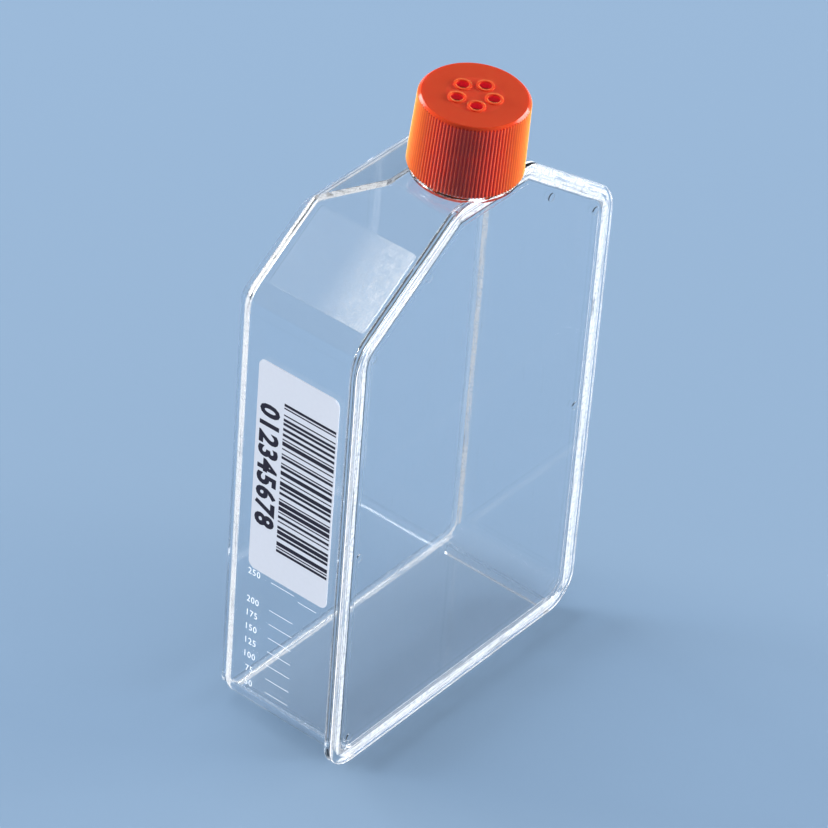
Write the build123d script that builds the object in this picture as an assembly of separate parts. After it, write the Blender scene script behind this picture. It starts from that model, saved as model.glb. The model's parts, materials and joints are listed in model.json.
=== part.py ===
from build123d import *
import os
from math import atan2, cos, degrees, hypot, pi, radians, sin, tan

# Cell culture flask: a clear tray closed by a welded front plate, with a canted neck and a vented screw cap.
# Millimetres. X runs across the width, Y through the thickness from the front plate to the growth wall,
# and Z along the length. The origin is on the underside of the rim, in the middle of its width and thickness,
# at the level of the surface the flask stands on.

# ---- driving dimensions: outline ----
flask_width = 117.0          # across the outer rim
body_height = 184.8          # height of the rim above the shoulders
shoulder_rise = 29.8         # height of the shoulders, from the rim's bend to its top
top_width = 33.6             # width of the flat top between the shoulders
flask_depth = 46.6           # front of the rim to the foot ring
base_corner_radius = 11.0    # outer rim, bottom corners
shoulder_bend_radius = 13.6  # outer rim, side to shoulder
top_bend_radius = 9.0        # outer rim, shoulder to top

# ---- driving dimensions: tray walls and rim ----
wall = 2.0
rim_overhang = 3.0           # how far the rim stands out from the walls
rim_depth = 2.6              # thickness of the rim along Y
rim_lip = 2.4                # width of the lip left outside the front plate
rim_edge_radius = 0.5
back_edge_radius = 3.2       # outside edge between side walls and growth wall
ramp_rise = 9.2              # from the growth wall's turn towards the neck to the top wall
neck_shelf_depth = 26.4      # depth left at the top, measured from the front of the rim

# ---- driving dimensions: foot ring, standing ribs and writing panel ----
foot_height = 1.0
foot_width = 2.2
foot_setback = 1.4           # from the outside of the walls to the foot ring
foot_corner_radius = 6.0
rib_width = 2.0
rib_setback = 11.7           # from the side of the rim to the middle of a rib
rib_back_setback = 3.4       # from the back of the tray to the end of a rib
panel_height = 0.25
panel_length = 27.0          # along the shoulder
panel_width = 35.0           # along Y
panel_from_bend = 8.0        # from the rim's bend point, along the shoulder
panel_from_rim = 2.4         # behind the rim
panel_corner_radius = 1.0

# ---- driving dimensions: front plate ----
plate_thickness = 2.0        # in the middle
plate_edge = 1.4             # thickness of the edge that lies on the rim's ledge
plate_gap = 0.15             # round the plate, inside the lip
weld_film = 0.05             # between the plate's edge and the ledge
border_height = 0.8          # raised border above the middle of the plate
border_width = 3.75
stud_diameter = 2.6
stud_height = 0.35           # above the middle of the plate
stud_setback = 8.1           # from the outside of the rim to the middle of a stud
mid_stud_share = 0.51        # of the height of the straight sides
shoulder_stud_share = 0.63   # of the way up the shoulder

# ---- driving dimensions: neck ----
neck_cant = 3.5              # degrees, leaning towards the front plate
neck_from_front = 12.3       # front of the rim to the neck axis, at the top wall
neck_diameter = 24.6
neck_wall = 2.2
bead_diameter = 32.2
bead_thickness = 1.8
bead_lift = 2.9              # top wall to the underside of the bead
bead_chamfer = 0.5
mouth_chamfer = 0.6

# ---- driving dimensions: vent cap ----
cap_lift = 5.6               # top wall to the lower edge of the skirt, along the neck axis
cap_height = 23.6
cap_diameter = 33.9          # at the lower edge
cap_draft = 0.8              # how much smaller the radius is at the top
cap_wall = 1.7
cap_top = 2.0
cap_edge_chamfer = 0.9
flute_count = 96
flute_depth = 0.42
crest_clearance = 0.1        # between the flutes and the blank that rounds their upper ends
vent_hole_count = 5
vent_hole_diameter = 3.8
vent_circle_radius = 5.5
vent_start_angle = 7.0
vent_rim_height = 0.3
vent_rim_width = 0.7
seal_lip_width = 1.1
seal_lip_depth = 1.1
membrane_thickness = 0.3
fit_clearance = 0.3          # between seated pieces

# ---- driving dimensions: barcode label ----
label_width = 30.0           # along Y
label_height = 76.5
label_bottom = 58.7
label_from_front = 7.3
label_thickness = 0.15
label_corner_radius = 2.5
glue_film = 0.04             # between the label and the wall

# ---- derived places ----
front_y = -rim_depth / 2
back_y = front_y + flask_depth
tray_back_y = back_y - foot_height
ledge_y = front_y + plate_edge
plate_back_y = front_y + border_height + plate_thickness
straight_height = body_height - shoulder_rise
top_wall_z = body_height - rim_overhang
wall_x = flask_width / 2 - rim_overhang
shoulder_angle = atan2(shoulder_rise, (flask_width - top_width) / 2)
ramp_start_height = top_wall_z - ramp_rise
mid_stud_height = mid_stud_share * straight_height
ramp_run = tray_back_y - (front_y + neck_shelf_depth)
ramp_length = hypot(ramp_rise, ramp_run)
cap_radius = cap_diameter / 2
cap_bore = cap_radius - flute_depth - cap_wall
cap_ceiling = cap_lift + cap_height - cap_top
mouth_level = cap_ceiling - seal_lip_depth - fit_clearance
neck_bore = neck_diameter / 2 - neck_wall
seal_lip_radius = neck_diameter / 2 - seal_lip_width / 2
beyond = 40.0                # how far the block that cuts the ramp runs past it
overlap = 1.0                # how far joined shapes reach into each other, and cuts run past a face
least_radius = 0.8           # of a corner that moves inwards


def outline_points(inset):
    """Corners of the six-sided outline, moved inwards by inset, as (x, z) pairs."""
    side = flask_width / 2 - inset
    bend_z = straight_height - inset * (1 - sin(shoulder_angle)) / cos(shoulder_angle)
    top_x = top_width / 2 - inset * (1 - cos(shoulder_angle)) / sin(shoulder_angle)
    top_z = body_height - inset
    return [(-side, inset), (side, inset), (side, bend_z), (top_x, top_z), (-top_x, top_z), (-side, bend_z)]


def rounded(face, low_radius, middle_radius, high_radius):
    """Round the corners of a symmetric outline in three pairs, from the lowest to the highest."""
    same_level = 0.01
    levels = sorted({round(corner.Y, 3) for corner in face.vertices()})
    for level, radius in zip(levels, (low_radius, middle_radius, high_radius)):
        face = fillet([corner for corner in face.vertices() if abs(corner.Y - level) < same_level], radius)
    return face


def outline_slab(inset, near_y, far_y):
    """The outline, moved inwards by inset, as a slab from near_y to far_y."""
    flat = make_face(Polyline(*outline_points(inset), close=True))
    top_radius = max(top_bend_radius - inset, least_radius)
    face = rounded(flat, base_corner_radius - inset, shoulder_bend_radius - inset, top_radius)
    return extrude(Plane.XZ.offset(-far_y) * face, far_y - near_y)


def above_ramp(inset):
    """The block that the ramp cuts away, with the ramp moved inwards by inset."""
    tilt = degrees(atan2(ramp_run, ramp_rise))
    out_y, out_z = ramp_rise / ramp_length, ramp_run / ramp_length
    mid_y = tray_back_y - ramp_run / 2
    mid_z = ramp_start_height + ramp_rise / 2
    reach = beyond / 2 - inset
    block = Box(flask_width, beyond, ramp_length + beyond)
    return Pos(0, mid_y + out_y * reach, mid_z + out_z * reach) * Rot(X=tilt) * block


def tray_form(inset):
    """The solid bulk of the tray, moved inwards by inset on every side but the front."""
    form = outline_slab(rim_overhang + inset, front_y, tray_back_y - inset) - above_ramp(inset)
    back_face = form.faces().sort_by(Axis.Y)[-1]
    slopes = [f for f in form.faces() if f.normal_at().Y > 0.1 and f.normal_at().Z > 0.5]
    edges = ShapeList(back_face.edges() + slopes[0].edges())
    return fillet(unique_edges(edges), back_edge_radius - inset)


def unique_edges(edges):
    """Each edge once, though two faces share it."""
    kept = ShapeList()
    for edge in edges:
        if not any((edge.center() - other.center()).length < 0.01 for other in kept):
            kept.append(edge)
    return kept


def foot_outline(inset):
    """Rounded outline of the growth wall below the ramp, moved inwards by inset."""
    points = outline_points(rim_overhang + inset)
    ramp_z = ramp_start_height - inset
    (side, bend_z), (top_x, top_z) = points[2], points[3]
    ramp_x = side - (side - top_x) * (ramp_z - bend_z) / (top_z - bend_z)
    corners = [points[0], points[1], (side, bend_z), (ramp_x, ramp_z), (-ramp_x, ramp_z), (-side, bend_z)]
    flat = make_face(Polyline(*corners, close=True))
    radius = foot_corner_radius - inset + foot_setback
    return rounded(flat, radius, radius, radius)


def foot_ring():
    """The low ring that keeps the growth wall off the shelf."""
    ring = foot_outline(foot_setback) - foot_outline(foot_setback + foot_width)
    return extrude(Plane.XZ.offset(-back_y) * ring, foot_height + overlap)


def standing_ribs():
    """Two ribs under the base wall that level it with the rim."""
    rib_front = front_y + rim_depth / 2
    rib_back = tray_back_y - rib_back_setback
    rib_height = rim_overhang + overlap
    rib = Box(rib_width, rib_back - rib_front, rib_height)
    x = flask_width / 2 - rib_setback
    place = Pos(0, (rib_front + rib_back) / 2, rib_height / 2)
    return [place * Pos(side * x, 0, 0) * rib for side in (-1, 1)]


def writing_panel():
    """The frosted panel, slightly raised, on the left shoulder."""
    along = panel_from_bend + panel_length / 2
    near = front_y + rim_depth + panel_from_rim
    x = -flask_width / 2 + along * cos(shoulder_angle)
    z = straight_height + along * sin(shoulder_angle)
    thick = panel_height + overlap
    sink = rim_overhang + overlap - thick / 2
    face = RectangleRounded(panel_length, panel_width, panel_corner_radius)
    plate = extrude(face, thick / 2, both=True)
    place = Pos(x + sink * sin(shoulder_angle), near + panel_width / 2, z - sink * cos(shoulder_angle))
    return place * Rot(Y=-degrees(shoulder_angle)) * plate


def on_neck(shape):
    """Set a shape that was made along +Z from the top wall onto the canted neck axis."""
    return Pos(0, front_y + neck_from_front, top_wall_z) * Rot(X=neck_cant) * shape


def disc(radius, low, high):
    """A plain cylinder about the neck axis between two levels."""
    return Pos(0, 0, (low + high) / 2) * Cylinder(radius, high - low)


def neck():
    """The neck without its bore: plain barrel, bead and bevelled mouth."""
    barrel = disc(neck_diameter / 2, -wall, mouth_level)
    barrel = chamfer(barrel.edges().sort_by(Axis.Z)[-1], mouth_chamfer)
    bead = disc(bead_diameter / 2, bead_lift, bead_lift + bead_thickness)
    bead = chamfer(bead.edges().filter_by(GeomType.CIRCLE), bead_chamfer)
    return on_neck(barrel + bead)


def flask_body():
    """The tray moulding with its rim, ribs, foot ring, writing panel and neck."""
    rim = outline_slab(0, front_y, front_y + rim_depth)
    rim = fillet(rim.faces().sort_by(Axis.Y)[0].edges(), rim_edge_radius)
    rim = fillet(rim.faces().sort_by(Axis.Y)[-1].edges(), rim_edge_radius)
    body = tray_form(0) + rim + foot_ring() + writing_panel() + neck()
    for rib in standing_ribs():
        body += rib
    body -= tray_form(wall)
    body -= outline_slab(rim_lip, front_y - overlap, ledge_y)
    return body - on_neck(disc(neck_bore, -wall - overlap, mouth_level + overlap))


def stud_places():
    """Where the locating studs stand on the plate, as (x, z) pairs."""
    corners = outline_points(stud_setback)
    side, base_z = corners[1]
    bend_x, bend_z = corners[2]
    top_x, top_z = corners[3]
    corner_shift = (base_corner_radius - stud_setback) / 2
    up_shoulder = (
        bend_x + shoulder_stud_share * (top_x - bend_x),
        bend_z + shoulder_stud_share * (top_z - bend_z),
    )
    right = [(side - corner_shift, base_z + corner_shift), (side, mid_stud_height), (bend_x, bend_z), up_shoulder]
    return [(sign * x, z) for sign in (-1, 1) for x, z in right]


def front_plate():
    """The welded plate: edge on the ledge, middle set in between the walls, raised border, small studs."""
    plate = outline_slab(rim_lip + plate_gap, front_y, ledge_y - weld_film)
    plate += outline_slab(rim_overhang + wall + fit_clearance, front_y + border_height, plate_back_y)
    plate -= outline_slab(rim_lip + plate_gap + border_width, front_y - overlap, front_y + border_height)
    stud_face = Plane.XZ.offset(-front_y - border_height - plate_thickness / 2)
    for x, z in stud_places():
        plate += extrude(stud_face * Pos(x, z) * Circle(stud_diameter / 2), stud_height + plate_thickness / 2)
    return plate


def fluted_blank():
    """The cap's outside with its flutes, slightly smaller at the top."""
    def ring(radius, level):
        step = pi / flute_count
        crest_and_root = (radius, radius - flute_depth)
        points = [
            (crest_and_root[n % 2] * cos(n * step), crest_and_root[n % 2] * sin(n * step))
            for n in range(2 * flute_count)
        ]
        return Pos(0, 0, level) * make_face(Polyline(*points, close=True))
    return loft([ring(cap_radius, 0), ring(cap_radius - cap_draft, cap_height)], ruled=True)


def vent_places():
    """The five vent holes, evenly spaced about the axis."""
    return PolarLocations(vent_circle_radius, vent_hole_count, vent_start_angle)


def vent_cap():
    """The screw cap, modelled with its skirt's lower edge at the level where it sits."""
    low, high = cap_radius + crest_clearance, cap_radius - cap_draft + crest_clearance
    turned = Cone(low, high, cap_height, align=(Align.CENTER, Align.CENTER, Align.MIN))
    turned = chamfer(turned.edges().sort_by(Axis.Z)[-1], cap_edge_chamfer + crest_clearance)
    cap = fluted_blank() & turned
    ceiling = cap_height - cap_top
    cap -= disc(cap_bore, -overlap, ceiling)
    lip = disc(seal_lip_radius + seal_lip_width, ceiling - seal_lip_depth, ceiling + overlap)
    cap += lip - disc(seal_lip_radius, ceiling - seal_lip_depth, ceiling + overlap)
    vent_radius = vent_hole_diameter / 2
    for place in vent_places():
        cap += place * disc(vent_radius + vent_rim_width, cap_height - overlap, cap_height + vent_rim_height)
    for place in vent_places():
        cap -= place * disc(vent_radius, ceiling - overlap, cap_height + overlap)
    return on_neck(Pos(0, 0, cap_lift) * cap)


def vent_membrane():
    """The filter disc under the vent holes, inside the seal lip."""
    high = cap_ceiling - fit_clearance
    return on_neck(disc(seal_lip_radius - fit_clearance, high - membrane_thickness, high))


def barcode_label():
    """The paper label on the outside of the left wall."""
    face = RectangleRounded(label_width, label_height, label_corner_radius)
    sheet = extrude(Plane.YZ * face, label_thickness)
    y = front_y + label_from_front + label_width / 2
    x = -wall_x - glue_film - label_thickness
    return Pos(x, y, label_bottom + label_height / 2) * sheet


os.makedirs("parts", exist_ok=True)
pieces = {
    "flask_body": flask_body,
    "front_plate": front_plate,
    "vent_cap": vent_cap,
    "vent_membrane": vent_membrane,
    "barcode_label": barcode_label,
}
for name, make in pieces.items():
    shape = make()
    export_step(shape, f"parts/{name}.step")
    print(name, len(shape.solids()), "solid", round(shape.volume, 1), "mm3")
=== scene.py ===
# %% [markdown]
# # A cell culture flask with a vented screw cap
# The real object is a clear polystyrene vessel, about as long as a hand, in which cells grow on a large
# flat wall. It has five solids, which come ready-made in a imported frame: a deep tray with its neck, a flat
# front plate welded on, an orange cap that lets gas through, the filter under the cap's holes, and a paper
# label. The frame fixes every size and place. What is left for Blender is what a mould, a printer and a
# welding machine add: threads, graduation marks, print, the weld itself, and how each plastic takes the
# light.

# %% Load the frame
import json
import math
import bpy
from mathutils import Matrix, Vector


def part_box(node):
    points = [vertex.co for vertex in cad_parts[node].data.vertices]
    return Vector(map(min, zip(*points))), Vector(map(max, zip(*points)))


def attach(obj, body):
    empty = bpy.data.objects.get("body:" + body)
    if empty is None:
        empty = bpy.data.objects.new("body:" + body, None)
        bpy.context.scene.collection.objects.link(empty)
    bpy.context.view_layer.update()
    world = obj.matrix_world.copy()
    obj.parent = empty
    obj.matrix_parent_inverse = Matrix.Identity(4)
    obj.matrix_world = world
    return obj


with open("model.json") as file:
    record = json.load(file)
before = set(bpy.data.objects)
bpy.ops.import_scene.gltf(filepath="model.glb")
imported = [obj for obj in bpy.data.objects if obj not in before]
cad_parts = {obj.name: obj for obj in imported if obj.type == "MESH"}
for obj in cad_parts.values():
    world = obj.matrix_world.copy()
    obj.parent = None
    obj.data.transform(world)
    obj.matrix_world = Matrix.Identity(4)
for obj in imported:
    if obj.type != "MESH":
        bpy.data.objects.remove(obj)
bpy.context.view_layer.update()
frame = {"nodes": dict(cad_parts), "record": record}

nodes = frame["nodes"]
scene = bpy.context.scene
bpy.ops.object.select_all(action="DESELECT")
print("nodes:", sorted(nodes))

# %% [markdown]
# Places come from the frame's own boxes and joints, so every added mark stays on its solid. The few sizes
# that a box doesn't tell are named in the cell that first needs them. The flask stands on its base end: X
# runs across its width, Y from the front plate to the growth wall, and Z up its length. The cap's joint
# gives the neck's axis, which leans a few degrees towards the front plate.

# %% Places that the other steps use
MM = 0.001
body_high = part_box("flask_body")[1]
label_low, label_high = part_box("barcode_label")
front_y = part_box("front_plate")[0].y
half_width = body_high.x
screw = next(j for j in frame["record"]["behaviour"]["joints"] if j["name"] == "cap_turn")
neck_axis = Vector(screw["axis"]).normalized()
neck_foot = Vector(screw["pos_m"])
cap_levels = [(v.co - neck_foot).dot(neck_axis) for v in nodes["vent_cap"].data.vertices]
skirt_level, lid_level = min(cap_levels), max(cap_levels)
cap_low, cap_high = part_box("vent_cap")
cap_radius = (cap_high.x - cap_low.x) / 2
print("neck axis:", [round(v, 3) for v in neck_axis], "cap radius in mm:", round(cap_radius * 1000, 2))
print("cap from", round(skirt_level * 1000, 2), "to", round(lid_level * 1000, 2), "mm above the top wall")

# %% [markdown]
# The camera stands to the left of the front plate and looks down on it from a distance through a long lens,
# so that the flat walls keep their true proportions. Its three directions are written out and make the
# columns of a rotation matrix, because a slight roll can't be given by a plain look-at.

# %% Camera
camera_data = bpy.data.cameras.new("flask_camera")
camera = bpy.data.objects.new("flask_camera", camera_data)
scene.collection.objects.link(camera)
scene.camera = camera
LENS = 209.4
SENSOR = 36.0
to_right = Vector((0.63749354, -0.76785844, 0.0632092))
to_top = Vector((0.43774187, 0.42849043, 0.79042901))
to_back = Vector((-0.63402212, -0.47622407, 0.60928366))
stand = Matrix((to_right, to_top, to_back)).transposed().to_4x4()
stand.translation = Vector((-0.901205, -0.653983 + front_y, 0.957701))
camera.matrix_world = stand
camera_data.sensor_width = SENSOR
camera_data.lens = LENS
camera_data.clip_start = 0.01
camera_data.clip_end = 20.0
print("camera", round(stand.translation.length, 2), "m from the origin, lens", LENS, "mm")

# %% [markdown]
# Clear plastic has no colour of its own: it is seen only by what its edges bend and mirror. So the light
# comes from a few softboxes over a pale blue floor that lets the bright edges stand out. Two broad ones
# stand far off, left and right, and so low that they light the upright walls and both sides of the cap but
# hardly the floor. Two weaker ones farther round the back are what the flask's rim and the cap's polished
# bevel mirror as white lines. The last one hangs almost overhead, for a soft shadow. Each is placed by its
# direction as seen from the flask, and none stands where the lid or the shoulder would mirror it towards
# the camera as one large white patch.
#
# The walls of the room are a world colour. A Light Path node makes them paler where they are seen directly
# or through the plastic than in the light that they give, so the backdrop stays pale and the shadows stay
# deep. The floor sits a hair below the flask, since two faces in one plane flicker.

# %% Light and floor
scene.view_settings.view_transform = "Standard"
FLOOR_BLUE = (0.30, 0.44, 0.62, 1.0)
FLOOR_SIZE = 12.0
FLOOR_DROP = 0.15 * MM
WALLS_SEEN = 0.62
WALLS_LIGHT = 0.18
flask_middle = Vector((0.0, 0.02, 0.1))


def softbox(name, azimuth, elevation, distance, width, height, radiance):
    """A lamp that faces the flask, placed by angles in degrees; its power follows from its radiance."""
    turn, lift = math.radians(azimuth), math.radians(elevation)
    towards = Vector((math.cos(turn) * math.cos(lift), math.sin(turn) * math.cos(lift), math.sin(lift)))
    data = bpy.data.lights.new(name, "AREA")
    data.shape = "RECTANGLE"
    data.size, data.size_y = width, height
    data.energy = radiance * math.pi * width * height
    lamp = bpy.data.objects.new(name, data)
    scene.collection.objects.link(lamp)
    lamp.location = flask_middle + towards * distance
    lamp.rotation_euler = towards.to_track_quat("Z", "Y").to_euler()
    print(name, "power", round(data.energy, 2), "W")
    return lamp


def preset(node, values):
    """Set inputs of a node, by name, to plain values."""
    for name, value in values.items():
        node.inputs[name].default_value = value


# Name, azimuth and elevation in degrees, distance, width and height in metres, and radiance.
softbox("softbox_left", 116, 5.2, 7.0, 2.20, 1.40, 82.0)
softbox("softbox_right", 309, 5.2, 7.0, 2.60, 1.40, 72.0)
softbox("softbox_back_left", 99, 18, 3.5, 2.00, 1.40, 10.0)
softbox("softbox_back_right", 331, 18, 3.5, 2.00, 1.40, 9.0)
softbox("softbox_top", 100, 80, 3.5, 1.75, 1.75, 1.9)

world = bpy.data.worlds.new("studio_walls")
scene.world = world
world.use_nodes = True
world_tree = world.node_tree
walls = world_tree.nodes["Background"]
preset(walls, {"Color": (0.80, 0.88, 1.0, 1.0)})
sight = world_tree.nodes.new("ShaderNodeLightPath")
seen = world_tree.nodes.new("ShaderNodeMath")
seen.operation = "MAXIMUM"
world_tree.links.new(sight.outputs["Is Camera Ray"], seen.inputs[0])
world_tree.links.new(sight.outputs["Is Transmission Ray"], seen.inputs[1])
level = world_tree.nodes.new("ShaderNodeMapRange")
world_tree.links.new(seen.outputs["Value"], level.inputs["Value"])
preset(level, {"To Min": WALLS_LIGHT, "To Max": WALLS_SEEN})
world_tree.links.new(level.outputs["Result"], walls.inputs["Strength"])

bpy.ops.mesh.primitive_plane_add(size=FLOOR_SIZE, location=(0, 0, -FLOOR_DROP))
floor = bpy.context.object
floor.name = "floor"
floor_paint = bpy.data.materials.new("floor_paint")
floor_paint.use_nodes = True
floor_shader = floor_paint.node_tree.nodes["Principled BSDF"]
preset(floor_shader, {"Base Color": FLOOR_BLUE, "Roughness": 0.9, "Specular IOR Level": 0.1})
floor.data.materials.append(floor_paint)
bpy.ops.object.select_all(action="DESELECT")
print("floor", FLOOR_SIZE, "m wide, walls seen at", WALLS_SEEN, "and lighting at", WALLS_LIGHT)

# %% [markdown]
# Light that crosses the flask passes many walls, and light that runs along inside a wall is mirrored again
# and again before it gets out. Too few bounces would leave those places black, so the limits are raised.
# Light that the flask focuses onto the floor is left out: the shadow rays have carried the lamps' light
# through already, and to count it twice would give the flask a glow instead of a shadow.

# %% Light paths
scene.cycles.max_bounces = 32
scene.cycles.transmission_bounces = 32
scene.cycles.glossy_bounces = 16
scene.cycles.transparent_max_bounces = 32
scene.cycles.caustics_refractive = False
scene.cycles.caustics_reflective = False
print("light paths of up to", scene.cycles.max_bounces, "bounces")

# %% [markdown]
# Materials are node trees, and most of their nodes do simple sums. A few small helpers keep those trees
# readable. Each adds one kind of node, wires its inputs, whether they are numbers or other nodes' outputs,
# and returns its output, so that a material reads like a line of sums.

# %% Helpers for node trees
def add_node(tree, kind, **settings):
    """A new node with its settings."""
    made = tree.nodes.new(kind)
    for key, value in settings.items():
        setattr(made, key, value)
    return made


def feed(tree, socket, value):
    """Wire value into socket if it is another node's output, or else set it there."""
    if isinstance(value, bpy.types.NodeSocket):
        tree.links.new(value, socket)
    else:
        socket.default_value = value


def sums(tree, operation, *values, clamp=False):
    """A Math node over the values; returns its output."""
    made = add_node(tree, "ShaderNodeMath", operation=operation, use_clamp=clamp)
    for socket, value in zip(made.inputs, values):
        feed(tree, socket, value)
    return made.outputs["Value"]


def ramp(tree, value, start, end, low=0.0, high=1.0):
    """value from start..end turned smoothly into low..high."""
    made = add_node(tree, "ShaderNodeMapRange", interpolation_type="SMOOTHSTEP")
    limits = {"Value": value, "From Min": start, "From Max": end, "To Min": low, "To Max": high}
    for name, given in limits.items():
        feed(tree, made.inputs[name], given)
    return made.outputs["Result"]


def grain(tree, where, scale, detail=2.0, rough=0.5):
    """Noise from 0 to 1 at a scale in spots per metre."""
    made = add_node(tree, "ShaderNodeTexNoise")
    feed(tree, made.inputs["Vector"], where)
    feed(tree, made.inputs["Scale"], scale)
    preset(made, {"Detail": detail, "Roughness": rough})
    return made.outputs["Fac"]


def blend(tree, share, first, second):
    """The first colour turning into the second as share goes from 0 to 1."""
    made = add_node(tree, "ShaderNodeMix", data_type="RGBA")
    for name, value in (("Factor", share), ("A", first), ("B", second)):
        feed(tree, made.inputs[name], value)
    return made.outputs["Result"]


def stretch(tree, where, scale=(1.0, 1.0, 1.0), turn=(0.0, 0.0, 0.0), move=(0.0, 0.0, 0.0)):
    """A Mapping node: the place scaled, turned and moved."""
    made = add_node(tree, "ShaderNodeMapping", vector_type="POINT")
    feed(tree, made.inputs["Vector"], where)
    preset(made, {"Location": move, "Rotation": turn, "Scale": scale})
    return made.outputs["Vector"]


def new_group(name, inputs, outputs):
    """A shader node group with named sockets; returns it with its first and last node."""
    made = bpy.data.node_groups.new(name, "ShaderNodeTree")
    for label, kind, value in inputs:
        socket = made.interface.new_socket(label, in_out="INPUT", socket_type="NodeSocket" + kind)
        if value is not None:
            socket.default_value = value
    for label, kind in outputs:
        made.interface.new_socket(label, in_out="OUTPUT", socket_type="NodeSocket" + kind)
    return made, made.nodes.new("NodeGroupInput"), made.nodes.new("NodeGroupOutput")


def use_group(tree, group, **values):
    """Place a group in a tree with its own values; returns its outputs."""
    made = add_node(tree, "ShaderNodeGroup", node_tree=group)
    for label, value in values.items():
        feed(tree, made.inputs[label], value)
    return made.outputs


# %% [markdown]
# A mould leaves the same traces on every clear part: the wall is never quite flat, the melt leaves faint
# flow lines along its way, handling adds hairline scratches, and the gloss differs a little from place to
# place. One node group makes all four from a place in metres, and each material says how strong each of
# them is. The flow lines run up the part, so their noise is drawn out along Z, and the scratches are two
# sets of long, fine lines that cross.

# %% Group: traces of moulding
FLOW_SPOTS = (900.0, 900.0, 14.0)
HAIRS = (((2600.0, 2600.0, 55.0), (0.5, 0.35, 0.0)), ((2300.0, 2300.0, 60.0), (-0.7, 0.9, 0.4)))
moulding, first, last = new_group(
    "moulding_traces",
    (("Place", "Vector", None), ("Wave", "Float", 0.4), ("Flow", "Float", 0.1),
     ("Scratches", "Float", 0.1), ("Gloss", "Float", 0.02), ("Haze", "Float", 0.03)),
    (("Height", "Float"), ("Roughness", "Float")),
)
spot = first.outputs["Place"]
wave = grain(moulding, spot, 38.0, 1.0)
flow = grain(moulding, stretch(moulding, spot, FLOW_SPOTS), 1.0, 3.0)
hairs = [grain(moulding, stretch(moulding, spot, spots, turn), 1.0, 1.0) for spots, turn in HAIRS]
scratch = sums(moulding, "ADD", *(ramp(moulding, hair, 0.70, 0.76) for hair in hairs))
height = sums(moulding, "MULTIPLY", wave, first.outputs["Wave"])
height = sums(moulding, "MULTIPLY_ADD", flow, first.outputs["Flow"], height)
carved = sums(moulding, "MULTIPLY", scratch, first.outputs["Scratches"])
moulding.links.new(sums(moulding, "SUBTRACT", height, carved), last.inputs["Height"])
patches = ramp(moulding, grain(moulding, spot, 70.0, 4.0, 0.6), 0.35, 0.75)
rough = sums(moulding, "MULTIPLY_ADD", patches, first.outputs["Haze"], first.outputs["Gloss"])
rough = sums(moulding, "MULTIPLY_ADD", carved, 0.3, rough, clamp=True)
moulding.links.new(rough, last.inputs["Roughness"])
print("group", moulding.name, "with", len(moulding.nodes), "nodes")

# %% [markdown]
# Several finishes depend on how far a point lies inside the outline of the rim: the bond runs round at a
# fixed depth, and so does the matt back of the rim. Seen from the front the outline has six straight sides,
# and it is the same left and right, so the depth is the least of four distances: to the side, the base, the
# top and the shoulder.

# %% Group: depth inside the outline
BODY_HEIGHT = 184.8 * MM
SHOULDER_FOOT = 155.0 * MM
TOP_HALF = 16.8 * MM
RIM_OVERHANG = 3.0 * MM
slope = math.atan2(BODY_HEIGHT - SHOULDER_FOOT, half_width - TOP_HALF)
outline, first, last = new_group("outline_depth", (("Place", "Vector", None),), (("Depth", "Float"),))
parts = add_node(outline, "ShaderNodeSeparateXYZ")
outline.links.new(first.outputs["Place"], parts.inputs["Vector"])
across, up = sums(outline, "ABSOLUTE", parts.outputs["X"]), parts.outputs["Z"]
to_side = sums(outline, "SUBTRACT", half_width, across)
to_lid = sums(outline, "SUBTRACT", BODY_HEIGHT, up)
from_side = sums(outline, "MULTIPLY", to_side, math.sin(slope))
from_foot = sums(outline, "MULTIPLY", sums(outline, "SUBTRACT", SHOULDER_FOOT, up), math.cos(slope))
to_shoulder = sums(outline, "ADD", from_side, from_foot)
low_part = sums(outline, "MINIMUM", to_side, up)
high_part = sums(outline, "MINIMUM", to_lid, to_shoulder)
outline.links.new(sums(outline, "MINIMUM", low_part, high_part), last.inputs["Depth"])
print("shoulder slope", round(math.degrees(slope), 1), "degrees")

# %% [markdown]
# Clear plastic is a glass-like shader: full transmission, and the high index of refraction of polystyrene,
# 1.59, which gives it its bright edges. A lamp's light can't find its way through a refracting wall to the
# floor in few samples, so a Light Path node lets shadow rays pass as if the wall were a faint grey film.
# The moulding traces feed a Bump node and the roughness. On the body, one more mask makes the frosted
# writing panel on the left shoulder: there the mould was etched, so the surface is rough, with the fine
# sparkle of its grain. The mask moves the place to the panel's corner and turns it flat. It keeps to the
# shoulder's outer face.

# %% Clear polystyrene
PANEL_START = 8.0 * MM
PANEL_LENGTH = 27.0 * MM
PANEL_WIDTH = 35.0 * MM
PANEL_FRONT = 5.0 * MM
SHOULDER_SKIN = (-3.4 * MM, -2.4 * MM)
MASK_EDGE = 0.12 * MM
CLEAR = (0.985, 0.992, 1.0, 1.0)
POLYSTYRENE_INDEX = 1.59
SHADOW_TINT = (0.93, 0.95, 0.97, 1.0)


def new_material(name):
    """A new node material; returns it with its tree, its shader and the piece's own place in metres."""
    made = bpy.data.materials.new(name)
    made.use_nodes = True
    tree = made.node_tree
    where = add_node(tree, "ShaderNodeTexCoord").outputs["Object"]
    return made, tree, tree.nodes["Principled BSDF"], where


def bumped(tree, shader, height, distance):
    """Give a shader a bump that is as high as distance where height is 1; returns the Bump node."""
    bump = add_node(tree, "ShaderNodeBump")
    preset(bump, {"Strength": 1.0, "Distance": distance})
    tree.links.new(height, bump.inputs["Height"])
    tree.links.new(bump.outputs["Normal"], shader.inputs["Normal"])
    return bump


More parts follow.
